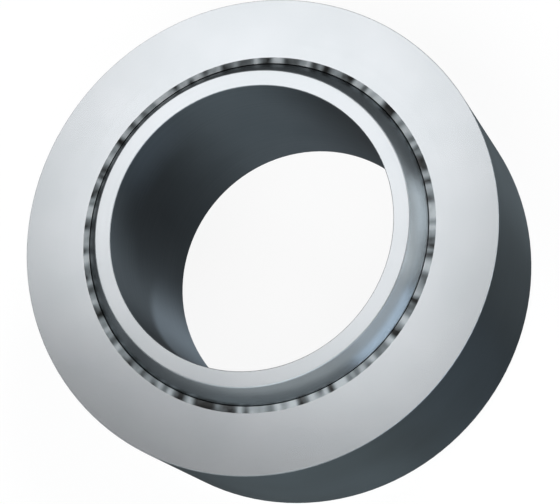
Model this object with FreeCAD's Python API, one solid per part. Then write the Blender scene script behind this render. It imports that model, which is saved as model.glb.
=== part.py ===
import FreeCAD, Part
import os
from math import sqrt

# Spherical plain bearing with a bonded sliding liner, in millimetres: 25 mm bore, 42 mm outside.
# The bore axis is Z, and the origin is the ball's centre, midway between the end faces.

# Driving dimensions. The walls are radial, in the plane of the ball's centre.
bore_diameter = 25.0
inner_ring_wall = 4.6
running_clearance = 0.06
liner_thickness = 0.46
outer_ring_wall = 3.38
inner_ring_width = 20.0
outer_ring_width = 16.0
edge_break = 0.05  # chamfer on every turned edge of the rings

# Radii from the bore outwards. The ball, the liner and its seat are spheres about one centre.
bore_radius = bore_diameter / 2
ball_radius = bore_radius + inner_ring_wall
liner_bore_radius = ball_radius + running_clearance
seat_radius = liner_bore_radius + liner_thickness
outside_radius = seat_radius + outer_ring_wall


def point(radius, height):
    """A point of a section, which lies in the XZ plane."""
    return FreeCAD.Vector(radius, 0, height)


def line(start, end):
    return Part.LineSegment(start, end).toShape()


def sphere_reach(sphere_radius, height):
    """How far a sphere about the origin stands from the axis, at a height."""
    return sqrt(sphere_radius ** 2 - height ** 2)


def sphere_arc(sphere_radius, height):
    """The sphere's meridian, from the height to as far below the middle."""
    reach = sphere_reach(sphere_radius, height)
    return Part.Arc(point(reach, height), point(sphere_radius, 0), point(reach, -height)).toShape()


def straight_wall(radius, half_width, towards_metal):
    """A cylinder's wall with both its edges broken, and the two points where it meets the faces."""
    upper = point(radius, half_width - edge_break)
    lower = point(radius, edge_break - half_width)
    face_radius = radius + towards_metal * edge_break
    upper_face = point(face_radius, half_width)
    lower_face = point(face_radius, -half_width)
    edges = [line(upper_face, upper), line(upper, lower), line(lower, lower_face)]
    return edges, upper_face, lower_face


def turned(edges):
    """The solid that a closed section sweeps in one full turn about the bore axis."""
    section = Part.Face(Part.Wire(Part.sortEdges(edges)[0]))
    return section.revolve(FreeCAD.Vector(0, 0, 0), FreeCAD.Vector(0, 0, 1), 360)


def make_inner_ring():
    """A ball with a plain bore, faced off flat at both ends."""
    half_width = inner_ring_width / 2
    bore, bore_upper, bore_lower = straight_wall(bore_radius, half_width, 1)
    break_height = half_width - edge_break
    ball_reach = sphere_reach(ball_radius, break_height)
    face_radius = sphere_reach(ball_radius, half_width) - edge_break
    upper_face = line(bore_upper, point(face_radius, half_width))
    lower_face = line(bore_lower, point(face_radius, -half_width))
    upper_break = line(point(face_radius, half_width), point(ball_reach, break_height))
    lower_break = line(point(face_radius, -half_width), point(ball_reach, -break_height))
    ball = sphere_arc(ball_radius, break_height)
    return turned(bore + [upper_face, upper_break, ball, lower_break, lower_face])


def make_liner():
    """A spherical shell of even thickness, trimmed flush with the outer ring's side faces."""
    half_width = outer_ring_width / 2
    inside = sphere_reach(liner_bore_radius, half_width)
    outside = sphere_reach(seat_radius, half_width)
    sliding_face = sphere_arc(liner_bore_radius, half_width)
    bonded_face = sphere_arc(seat_radius, half_width)
    upper_end = line(point(inside, half_width), point(outside, half_width))
    lower_end = line(point(inside, -half_width), point(outside, -half_width))
    return turned([sliding_face, upper_end, bonded_face, lower_end])


def make_outer_ring():
    """A plain ring with a spherical seat, which the liner covers from side face to side face."""
    half_width = outer_ring_width / 2
    wall, wall_upper, wall_lower = straight_wall(outside_radius, half_width, -1)
    seat_reach = sphere_reach(seat_radius, half_width)
    upper_face = line(wall_upper, point(seat_reach, half_width))
    lower_face = line(wall_lower, point(seat_reach, -half_width))
    seat = sphere_arc(seat_radius, half_width)
    return turned(wall + [upper_face, seat, lower_face])


pieces = {
    "inner_ring": make_inner_ring(),
    "liner": make_liner(),
    "outer_ring": make_outer_ring(),
}
os.makedirs("parts", exist_ok=True)
for name, shape in pieces.items():
    shape.exportStep("parts/" + name + ".step")
    print(name, "volume", round(shape.Volume, 1), "mm3, valid", shape.isValid())
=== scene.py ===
import random
from math import atan2, hypot, pi, radians, sqrt

import bmesh
import bpy
from mathutils import Matrix, Vector


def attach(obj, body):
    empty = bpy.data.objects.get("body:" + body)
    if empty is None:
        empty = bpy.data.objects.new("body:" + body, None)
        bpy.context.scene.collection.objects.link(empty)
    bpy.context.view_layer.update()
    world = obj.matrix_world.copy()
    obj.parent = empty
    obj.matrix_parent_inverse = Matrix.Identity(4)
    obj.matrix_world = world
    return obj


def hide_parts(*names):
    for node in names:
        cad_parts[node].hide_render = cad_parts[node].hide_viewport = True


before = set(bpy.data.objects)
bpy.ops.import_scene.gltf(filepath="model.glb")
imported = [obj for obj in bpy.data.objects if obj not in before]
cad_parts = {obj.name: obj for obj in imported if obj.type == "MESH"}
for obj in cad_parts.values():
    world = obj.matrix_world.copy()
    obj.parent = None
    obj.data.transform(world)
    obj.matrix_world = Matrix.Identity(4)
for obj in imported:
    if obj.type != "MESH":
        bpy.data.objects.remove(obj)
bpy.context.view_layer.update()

# Spherical plain bearing with a bonded sliding liner, lying on its inner ring. In metres, with
# the bore axis along Z and the ball's centre at the origin.
MM = 0.001
INNER_HALF_WIDTH = 10.0 * MM
OUTER_HALF_WIDTH = 8.0 * MM
LINER_BORE_RADIUS = 17.16 * MM
SEAT_RADIUS = 17.62 * MM

# What tells the rings' surfaces apart, each of which has its own finish.
FLAT_NORMAL = 0.95         # a side face's normal stands more upright than this,
BREAK_NORMAL = 0.65        # an edge break's more than this, and a wall's less
BORE_LIMIT = 13.0 * MM     # a radius between the bore's wall and the ball
OUTSIDE_LIMIT = 20.5 * MM  # a radius between the seat and the outside

# How far apart the lines are that machining leaves round the axis. Real ones are 0.02 to 0.1 mm
# apart, too fine to show in a render, so these are drawn several times coarser.
GRINDING_PITCH = 0.5 * MM
TURNING_PITCH = MM / 3
POLISHING_PITCH = 0.4 * MM

# A painted highlight in the bore, a lighter tone standing in for light that falls there: on one
# side of it, under an upper edge that climbs towards that side.
PAINTED_HIGHLIGHT_SIDE = (-0.968, -0.252, 0.0)
PAINTED_HIGHLIGHT_SLOPE = 1.178
PAINTED_HIGHLIGHT_TOP_STARTS = -INNER_HALF_WIDTH + 1.0 * MM
PAINTED_HIGHLIGHT_TOP_ENDS = -INNER_HALF_WIDTH - 1.5 * MM
PAINTED_HIGHLIGHT_REACH_STARTS = 5.6 * MM
PAINTED_HIGHLIGHT_REACH_ENDS = 12.5 * MM

# The liner: two spherical walls joined by flat ends, which are cut flush with the outer ring's
# side faces.
LINER_SEGMENTS = 480             # round the ring, each 0.2 mm long at the cut
LINER_RINGS = 64                 # from pole to pole of the whole sphere
CUT_INSIDE = sqrt(LINER_BORE_RADIUS ** 2 - OUTER_HALF_WIDTH ** 2)  # the cut's edge at the ball
CUT_OUTSIDE = sqrt(SEAT_RADIUS ** 2 - OUTER_HALF_WIDTH ** 2)       # and at the ring
CUT_RIM = 0.04 * MM              # left flat along both edges
CUT_REACH = 0.2 * MM             # a vertex this close to a side face belongs to the cut
YARN_SEED = 25
YARN_END_TONES = (0.42, 0.82)
# A resin pit's dark tone is painted shade in the gap between yarns, darker the deeper it lies.
PIT_SHADE_TONES = (0.0, 0.32)
SHALLOW_PIT_SHADE_TONES = (0.15, 0.5)  # on the side of the cut where a pit is shallower and its painted shade lighter
PIT_GRADES = (0.42, 0.28, 0.14)  # each tone under which the resin lies one step deeper
PIT_STEP = 0.015 * MM
DARK_STRETCH = range(271, 291)   # segments where the resin shows dark for a few yarns,
DARK_SHARE = 0.35                # and how much of their tone is left there
MERGE_DISTANCE = 0.001 * MM
SMOOTH_ANGLE = radians(40)

FLOOR_RADIUS = 4.0
FLOOR_GLOW_SHARE = 0.9  # the rest is the board itself, which takes the shadow

# The studio's air: a grey for each height above the horizon, white near the floor like a low
# backdrop, and dark overhead like an unlit studio.
AIR_GREYS = (
    (0.0, 0.9), (0.08, 0.85), (0.2, 0.55), (0.35, 0.35),
    (0.55, 0.22), (0.72, 0.08), (0.8, 0.03), (1.0, 0.03),
)
FLAG_SIDE = (0.990, 0.139, 0.0)  # where a black flag keeps the air's light off the metal
FLAG_EDGE = 0.8                  # cosine of the angle to that side at which the flag begins,
FLAG_MIDDLE = 0.95               # and at which it has its whole effect
FLAG_LEAVES = 0.3                # share of the light that it leaves there

CAMERA_PLACE = Vector((0.096, -72.82, 186.13)) * MM
CAMERA_TILT = radians(21.44)
CAMERA_ROLL = radians(-48.36)
CAMERA_LENS = 144.87  # in millimetres, as the sensor's width is
CAMERA_SENSOR = 36


def linear(hex_colour):
    """An sRGB hex colour as the linear RGBA that a node socket takes."""
    channels = [int(hex_colour[i:i + 2], 16) / 255 for i in (1, 3, 5)]
    return [c / 12.92 if c <= 0.04045 else ((c + 0.055) / 1.055) ** 2.4 for c in channels] + [1.0]


def add(tree, kind, links=None, values=None, **settings):
    """Adds a node. Links are its sockets' sources, values its sockets' constants, and settings
    its own properties."""
    node = tree.nodes.new(kind)
    for name, value in settings.items():
        setattr(node, name, value)
    for socket, value in (values or {}).items():
        node.inputs[socket].default_value = value
    for socket, source in (links or {}).items():
        tree.links.new(source, node.inputs[socket])
    return node


def new_material(name):
    material = bpy.data.materials.new(name)
    material.use_nodes = True
    material.node_tree.nodes.clear()
    return material, material.node_tree


def set_stops(colour_ramp, stops):
    """Puts a ramp's colours at their positions, from the lowest to the highest."""
    first, last = colour_ramp.elements[0], colour_ramp.elements[1]
    first.position, first.color = stops[0]
    last.position, last.color = stops[-1]
    for position, colour in stops[1:-1]:
        colour_ramp.elements.new(position).color = colour


def ground_steel(name, light, dark, roughness):
    """Bearing steel, its surface ground on a rotary table: a satin white-grey sheen that softens
    what it mirrors, faintly clouded, with fine grinding lines round the axis. The specular tint
    holds back what it mirrors at a low angle, so that a lamp there doesn't burn it white."""
    material, tree = new_material(name)
    place = add(tree, "ShaderNodeTexCoord").outputs["Object"]
    flat = add(tree, "ShaderNodeVectorMath", {0: place}, {1: (1, 1, 0)}, operation="MULTIPLY")
    radius = add(tree, "ShaderNodeVectorMath", {0: flat.outputs[0]}, operation="LENGTH")
    lay = add(tree, "ShaderNodeTexNoise", {"W": radius.outputs["Value"]},
              {"Scale": 1 / GRINDING_PITCH, "Detail": 1}, noise_dimensions="1D")
    cloud = add(tree, "ShaderNodeTexNoise", {"Vector": place}, {"Scale": 180, "Detail": 3})
    tone = add(tree, "ShaderNodeValToRGB", {"Fac": cloud.outputs["Fac"]})
    set_stops(tone.color_ramp, [(0.3, linear(dark)), (0.7, linear(light))])
    rough = add(tree, "ShaderNodeMapRange", {"Value": lay.outputs["Fac"]},
                {"To Min": roughness - 0.004, "To Max": roughness + 0.004})
    bump = add(tree, "ShaderNodeBump", {"Height": lay.outputs["Fac"]},
               {"Strength": 0.004, "Distance": 0.02 * MM})
    skin = add(tree, "ShaderNodeBsdfPrincipled",
               {"Base Color": tone.outputs["Color"], "Roughness": rough.outputs[0],
                "Normal": bump.outputs[0]},
               {"Metallic": 1.0, "Specular Tint": linear("#cccccc")})
    add(tree, "ShaderNodeOutputMaterial", {"Surface": skin.outputs[0]})
    return material


def black_oxide_steel(name, light, dark, roughness, stretch, painted_highlight=None):
    """Bearing steel under a blue-black oxide coat, dull and barely clouded. Its turning lines run
    round the axis, so stretch draws the sheen out up and down the wall. Where a tone is given for
    it, a painted highlight lightens the coat on one side of the bore, standing in for light there."""
    material, tree = new_material(name)
    place = add(tree, "ShaderNodeTexCoord").outputs["Object"]
    height = add(tree, "ShaderNodeSeparateXYZ", {0: place}).outputs["Z"]
    lay = add(tree, "ShaderNodeTexNoise", {"W": height},
              {"Scale": 1 / TURNING_PITCH, "Detail": 2}, noise_dimensions="1D")
    cloud = add(tree, "ShaderNodeTexNoise", {"Vector": place}, {"Scale": 120, "Detail": 4})
    coat = add(tree, "ShaderNodeValToRGB", {"Fac": cloud.outputs["Fac"]})
    set_stops(coat.color_ramp, [(0.3, linear(dark)), (0.7, linear(light))])
    tone = coat.outputs["Color"]
    if painted_highlight:
        # A painted highlight: a lighter tone on one side of the bore, standing in for light
        # falling there.
        reach = add(tree, "ShaderNodeVectorMath", {0: place}, {1: PAINTED_HIGHLIGHT_SIDE},
                    operation="DOT_PRODUCT")
        above = add(tree, "ShaderNodeMath", {0: reach.outputs["Value"], 2: height},
                    {1: -PAINTED_HIGHLIGHT_SLOPE}, operation="MULTIPLY_ADD")
        below_edge = add(tree, "ShaderNodeMapRange", {"Value": above.outputs[0]},
                         {"From Min": PAINTED_HIGHLIGHT_TOP_STARTS, "From Max": PAINTED_HIGHLIGHT_TOP_ENDS},
                         interpolation_type="SMOOTHSTEP")
        on_side = add(tree, "ShaderNodeMapRange", {"Value": reach.outputs["Value"]},
                      {"From Min": PAINTED_HIGHLIGHT_REACH_STARTS, "From Max": PAINTED_HIGHLIGHT_REACH_ENDS},
                      interpolation_type="SMOOTHSTEP")
        share = add(tree, "ShaderNodeMath", {0: below_edge.outputs[0], 1: on_side.outputs[0]},
                    operation="MULTIPLY")
        highlighted = add(tree, "ShaderNodeMix", {"Factor": share.outputs[0], "A": tone},
                   data_type="RGBA")
        highlighted.inputs["B"].default_value = linear(painted_highlight)
        tone = highlighted.outputs["Result"]
    rough = add(tree, "ShaderNodeMapRange", {"Value": lay.outputs["Fac"]},
                {"To Min": roughness - 0.04, "To Max": roughness + 0.04})
    bump = add(tree, "ShaderNodeBump", {"Height": lay.outputs["Fac"]},
               {"Strength": 0.04, "Distance": 0.02 * MM})
    upright = add(tree, "ShaderNodeCombineXYZ", values={"Z": 1.0})
    skin = add(tree, "ShaderNodeBsdfPrincipled",
               {"Base Color": tone, "Roughness": rough.outputs[0], "Normal": bump.outputs[0],
                "Tangent": upright.outputs[0]},
               {"Metallic": 1.0, "Anisotropic": stretch, "Specular Tint": linear("#cccccc")})
    add(tree, "ShaderNodeOutputMaterial", {"Surface": skin.outputs[0]})
    return material


def polished_ball_steel():
    """Bearing steel, ground and polished to run in the liner: dark and mirror-like, with clear
    highlights of the lamps, barely clouded, and with the faintest lines round the axis."""
    material, tree = new_material("polished_ball_steel")
    place = add(tree, "ShaderNodeTexCoord").outputs["Object"]
    height = add(tree, "ShaderNodeSeparateXYZ", {0: place}).outputs["Z"]
    lay = add(tree, "ShaderNodeTexNoise", {"W": height},
              {"Scale": 1 / POLISHING_PITCH, "Detail": 2}, noise_dimensions="1D")
    cloud = add(tree, "ShaderNodeTexNoise", {"Vector": place}, {"Scale": 300, "Detail": 3})
    tone = add(tree, "ShaderNodeValToRGB", {"Fac": cloud.outputs["Fac"]})
    set_stops(tone.color_ramp, [(0.3, linear("#7f868a")), (0.7, linear("#868d91"))])
    rough = add(tree, "ShaderNodeMapRange", {"Value": cloud.outputs["Fac"]},
                {"To Min": 0.22, "To Max": 0.26})
    bump = add(tree, "ShaderNodeBump", {"Height": lay.outputs["Fac"]},
               {"Strength": 0.01, "Distance": 0.02 * MM})
    skin = add(tree, "ShaderNodeBsdfPrincipled",
               {"Base Color": tone.outputs["Color"], "Roughness": rough.outputs[0],
                "Normal": bump.outputs[0]},
               {"Metallic": 1.0, "Specular Tint": linear("#c4c4c4")})
    add(tree, "ShaderNodeOutputMaterial", {"Surface": skin.outputs[0]})
    return material


def woven_liner():
    """PTFE fabric in resin, cut flush after bonding: light yarn ends between pits of resin painted
    dark with shade, as the piece's own yarn attribute places them, matt and mottled by clumps of
    fibre from 0.9 mm down to 0.06 mm across."""
    material, tree = new_material("ptfe_fabric_in_resin")
    place = add(tree, "ShaderNodeTexCoord").outputs["Object"]
    yarn = add(tree, "ShaderNodeAttribute", attribute_name="yarn").outputs["Fac"]
    mottle = add(tree, "ShaderNodeTexNoise", {"Vector": place}, {"Scale": 1100, "Detail": 4})
    fibres = mottle.outputs["Fac"]
    blend = add(tree, "ShaderNodeMath", {0: fibres, 2: yarn}, {1: 0.5}, operation="MULTIPLY_ADD")
    tone = add(tree, "ShaderNodeValToRGB", {"Fac": blend.outputs[0]})
    set_stops(tone.color_ramp,
              [(0.33, linear("#050606")), (0.66, linear("#696f72")), (1.0, linear("#9ba0a3"))])
    rough = add(tree, "ShaderNodeMapRange", {"Value": fibres}, {"To Min": 0.4, "To Max": 0.55})
    bump = add(tree, "ShaderNodeBump", {"Height": fibres},
               {"Strength": 0.25, "Distance": 0.03 * MM})
    skin = add(tree, "ShaderNodeBsdfPrincipled",
               {"Base Color": tone.outputs["Color"], "Roughness": rough.outputs[0],
                "Normal": bump.outputs[0]},
               {"IOR": 1.35})
    add(tree, "ShaderNodeOutputMaterial", {"Surface": skin.outputs[0]})
    return material


def pale_floor():
    """Matt painted board, white all round the object for the eye and in the metal, with the
    object's soft shadow on it."""
    material, tree = new_material("matt_white_board")
    rays = add(tree, "ShaderNodeLightPath")
    seen = add(tree, "ShaderNodeMath",
               {0: rays.outputs["Is Camera Ray"], 1: rays.outputs["Is Glossy Ray"]},
               operation="MAXIMUM")
    seen = add(tree, "ShaderNodeMath",
               {0: seen.outputs[0], 1: rays.outputs["Is Transmission Ray"]},
               operation="MAXIMUM")
    share = add(tree, "ShaderNodeMath", {0: seen.outputs[0]}, {1: FLOOR_GLOW_SHARE},
                operation="MULTIPLY")
    place = add(tree, "ShaderNodeTexCoord").outputs["Object"]
    cloud = add(tree, "ShaderNodeTexNoise", {"Vector": place}, {"Scale": 8})
    tone = add(tree, "ShaderNodeValToRGB", {"Fac": cloud.outputs["Fac"]})
    set_stops(tone.color_ramp, [(0.3, linear("#f4f4f4")), (0.7, linear("#f7f7f7"))])
    board = add(tree, "ShaderNodeBsdfDiffuse", {"Color": tone.outputs["Color"]})
    glow = add(tree, "ShaderNodeEmission", values={"Color": (1, 1, 1, 1), "Strength": 1.0})
    mix = add(tree, "ShaderNodeMixShader",
              {0: share.outputs[0], 1: board.outputs[0], 2: glow.outputs[0]})
    add(tree, "ShaderNodeOutputMaterial", {"Surface": mix.outputs[0]})
    return material


face_steel = ground_steel("face_ground_bearing_steel", "#e3e7eb", "#dce1e5", 0.21)
# Edges stoned by hand after grinding: duller and darker than the faces, a thin matt line.
edge_steel = ground_steel("hand_stoned_edge_steel", "#92989c", "#8c9296", 0.5)
outside_steel = black_oxide_steel("black_oxide_turned_steel", "#3b4246", "#363c3f", 0.58, 1.0)
# The bore is honed before it is coated, so its coat is a little lighter and smoother.
# Its last tone is a painted highlight on one side of the bore.
bore_steel = black_oxide_steel("black_oxide_honed_steel", "#474e53", "#41484d", 0.55, 0.95,
                               painted_highlight="#6e7982")
ball_steel = polished_ball_steel()
liner_fabric = woven_liner()


def finish_faces(piece, materials, choose):
    """Gives each face of a CAD piece the material that choose picks for its middle and normal."""
    mesh = piece.data
    mesh.materials.clear()
    for material in materials:
        mesh.materials.append(material)
    for face in mesh.polygons:
        face.material_index = materials.index(choose(face.center, face.normal))


def inner_ring_finish(middle, normal):
    if abs(normal.z) > FLAT_NORMAL:
        return face_steel
    if abs(normal.z) > BREAK_NORMAL:
        return edge_steel
    return bore_steel if hypot(middle.x, middle.y) < BORE_LIMIT else ball_steel


def outer_ring_finish(middle, normal):
    """The seat, which the liner hides, takes the side faces' finish."""
    if abs(normal.z) > FLAT_NORMAL or hypot(middle.x, middle.y) < OUTSIDE_LIMIT:
        return face_steel
    return edge_steel if abs(normal.z) > BREAK_NORMAL else outside_steel


finish_faces(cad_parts["inner_ring"], [face_steel, bore_steel, ball_steel, edge_steel],
             inner_ring_finish)
finish_faces(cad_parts["outer_ring"], [face_steel, outside_steel, edge_steel],
             outer_ring_finish)


def spherical_wall(radius):
    """A sphere cut off flat at both side faces, and open there."""
    bpy.ops.object.select_all(action="DESELECT")
    bpy.ops.mesh.primitive_uv_sphere_add(segments=LINER_SEGMENTS, ring_count=LINER_RINGS,
                                         radius=radius)
    bpy.ops.object.mode_set(mode="EDIT")
    for side in (1, -1):
        bpy.ops.mesh.select_all(action="SELECT")
        bpy.ops.mesh.bisect(plane_co=(0, 0, side * OUTER_HALF_WIDTH), plane_no=(0, 0, side),
                            clear_outer=True)
    bpy.ops.object.mode_set(mode="OBJECT")
    return bpy.context.object


def softened(tones):
    """Each segment's tone, run a little into its neighbours' round the ring."""
    return [(tones[i - 1] + 2 * tones[i] + tones[(i + 1) % LINER_SEGMENTS]) / 4
            for i in range(LINER_SEGMENTS)]


def yarn_tones():
    """How light the cut is at each segment, along its edge at the ball and its edge at the ring.
    One to four yarn ends lie side by side, each one to three segments wide, and then one to three
    resin pits, as wide and darkened with painted shade, which reach right across the cut or lie
    deeper on one side of it."""
    random.seed(YARN_SEED)
    at_ball, at_ring = [], []
    while len(at_ball) < LINER_SEGMENTS:
        for _ in range(random.randint(1, 4)):
            light = [random.uniform(*YARN_END_TONES)] * random.randint(1, 3)
            at_ball += light
            at_ring += light
        for _ in range(random.randint(1, 3)):
            width = random.randint(1, 3)
            pit = random.uniform(*PIT_SHADE_TONES)
            beside = random.choice((pit, pit, random.uniform(*SHALLOW_PIT_SHADE_TONES)))
            pair = [pit, beside]
            random.shuffle(pair)
            at_ball += [pair[0]] * width
            at_ring += [pair[1]] * width
    at_ball, at_ring = at_ball[:LINER_SEGMENTS], at_ring[:LINER_SEGMENTS]
    for segment in DARK_STRETCH:
        at_ball[segment] *= DARK_SHARE
        at_ring[segment] *= DARK_SHARE
    return softened(at_ball), softened(at_ring)


tones_at_ball, tones_at_ring = yarn_tones()


def tone_at(place):
    """How light the liner is at a place, between its edge at the ball and its edge at the ring."""
    share = (hypot(place.x, place.y) - CUT_INSIDE) / (CUT_OUTSIDE - CUT_INSIDE)
    share = min(max(share, 0.0), 1.0)
    segment = round(atan2(place.y, place.x) / (2 * pi) * LINER_SEGMENTS) % LINER_SEGMENTS
    return (1 - share) * tones_at_ball[segment] + share * tones_at_ring[segment]


def on_cut(vertex, side):
    return abs(vertex.co.z - side * OUTER_HALF_WIDTH) < CUT_REACH


def in_pit(vertex, side, grade):
    radius = hypot(vertex.co.x, vertex.co.y)
    inside_rim = CUT_INSIDE + CUT_RIM < radius < CUT_OUTSIDE - CUT_RIM
    return on_cut(vertex, side) and inside_rim and tone_at(vertex.co) < grade


def select_where(mesh, wanted):
    """Selects in edit mode the vertices that wanted is true for, and nothing else."""
    bpy.ops.mesh.select_all(action="DESELECT")
    edited = bmesh.from_edit_mesh(mesh)
    for vertex in edited.verts:
        vertex.select = wanted(vertex)
    edited.select_flush(True)
    bmesh.update_edit_mesh(mesh)


bonded_wall = spherical_wall(SEAT_RADIUS)
sliding_wall = spherical_wall(LINER_BORE_RADIUS)
bpy.ops.object.select_all(action="DESELECT")
sliding_wall.select_set(True)
bonded_wall.select_set(True)
bpy.context.view_layer.objects.active = bonded_wall
bpy.ops.object.join()
liner = bonded_wall
liner.name = "woven_liner"

bpy.ops.object.mode_set(mode="EDIT")
bpy.ops.mesh.select_mode(type="VERT")
for side in (1, -1):
    select_where(liner.data, lambda vertex: on_cut(vertex, side) and vertex.is_boundary)
    bpy.ops.mesh.bridge_edge_loops(number_cuts=3, interpolation="LINEAR")
bpy.ops.mesh.select_all(action="SELECT")
bpy.ops.mesh.remove_doubles(threshold=MERGE_DISTANCE)
bpy.ops.mesh.normals_make_consistent(inside=False)
for side in (1, -1):
    for grade in PIT_GRADES:
        select_where(liner.data, lambda vertex: in_pit(vertex, side, grade))
        bpy.ops.transform.translate(value=(0, 0, -side * PIT_STEP))
bpy.ops.object.mode_set(mode="OBJECT")
bpy.ops.object.shade_smooth_by_angle(angle=SMOOTH_ANGLE)

yarn = liner.data.attributes.new("yarn", "FLOAT", "POINT")
for vertex in liner.data.vertices:
    yarn.data[vertex.index].value = tone_at(vertex.co)
liner.data.materials.append(liner_fabric)
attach(liner, "outer_ring")
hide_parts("liner")

bpy.ops.object.select_all(action="DESELECT")
bpy.ops.mesh.primitive_circle_add(vertices=64, radius=FLOOR_RADIUS, fill_type="NGON",
                                  location=(0, 0, -INNER_HALF_WIDTH))
floor = bpy.context.object
floor.name = "studio_floor"
floor.data.materials.append(pale_floor())


def softbox(name, place, width, height, brightness, colour="#ffffff", turn=0):
    """A soft rectangular lamp that faces the bearing and is turned in its own plane. Its place and
    size are in millimetres, and its brightness is the same at any size."""
    lamp = bpy.data.lights.new(name, "AREA")
    lamp.shape = "RECTANGLE"
    lamp.size, lamp.size_y = width * MM, height * MM
    lamp.color = linear(colour)[:3]
    lamp.energy = brightness * pi * lamp.size * lamp.size_y
    holder = bpy.data.objects.new(name, lamp)
    bpy.context.scene.collection.objects.link(holder)
    holder.location = Vector(place) * MM
    facing = holder.location.to_track_quat("Z", "Y").to_matrix().to_4x4()
    holder.rotation_euler = (facing @ Matrix.Rotation(radians(turn), 4, "Z")).to_euler()


softbox("key_softbox", (29, 219, 500), 164, 168, 1.33, turn=29)
softbox("side_softbox", (537, -268, 104), 244, 208, 4.2)
softbox("side_strip", (398, -449, 62), 226, 120, 5.6)
softbox("front_strip", (73, -596, 118), 437, 120, 6.2, "#dce8f8")
softbox("right_strip", (385, 13, 460), 180, 230, 11.0)
softbox("top_fill", (-260, -150, 640), 560, 460, 4.6)
softbox("left_fill", (-370, -311, 435), 550, 330, 1.7, "#e6f6f8")
softbox("back_fill", (-389, 389, 239), 260, 130, 0.6)

world = bpy.data.worlds.new("studio")
bpy.context.scene.world = world
world.use_nodes = True
air = world.node_tree
air.nodes.clear()
direction = add(air, "ShaderNodeTexCoord").outputs["Generated"]
up = add(air, "ShaderNodeSeparateXYZ", {0: direction}).outputs["Z"]
sky = add(air, "ShaderNodeValToRGB", {"Fac": up})
set_stops(sky.color_ramp, [(height, (grey, grey, grey, 1)) for height, grey in AIR_GREYS])
towards_flag = add(air, "ShaderNodeVectorMath", {0: direction}, {1: FLAG_SIDE},
                   operation="DOT_PRODUCT")
shade = add(air, "ShaderNodeMapRange", {"Value": towards_flag.outputs["Value"]},
            {"From Min": FLAG_EDGE, "From Max": FLAG_MIDDLE,
             "To Min": 1.0, "To Max": FLAG_LEAVES},
            interpolation_type="SMOOTHSTEP")
rays = add(air, "ShaderNodeLightPath")  # the camera itself sees no flag, only plain air
strength = add(air, "ShaderNodeMath",
               {0: shade.outputs[0], 1: rays.outputs["Is Camera Ray"]}, operation="MAXIMUM")
glow = add(air, "ShaderNodeBackground",
           {"Color": sky.outputs["Color"], "Strength": strength.outputs[0]})
add(air, "ShaderNodeOutputWorld", {"Surface": glow.outputs[0]})

lens = bpy.data.cameras.new("camera")
lens.lens = CAMERA_LENS
lens.sensor_width = CAMERA_SENSOR
camera = bpy.data.objects.new("camera", lens)
bpy.context.scene.collection.objects.link(camera)
camera.matrix_world = (Matrix.Translation(CAMERA_PLACE)
                       @ Matrix.Rotation(CAMERA_TILT, 4, "X")
                       @ Matrix.Rotation(CAMERA_ROLL, 4, "Z"))
bpy.context.scene.camera = camera
bpy.context.scene.view_settings.view_transform = "Standard"

bpy.context.view_layer.update()
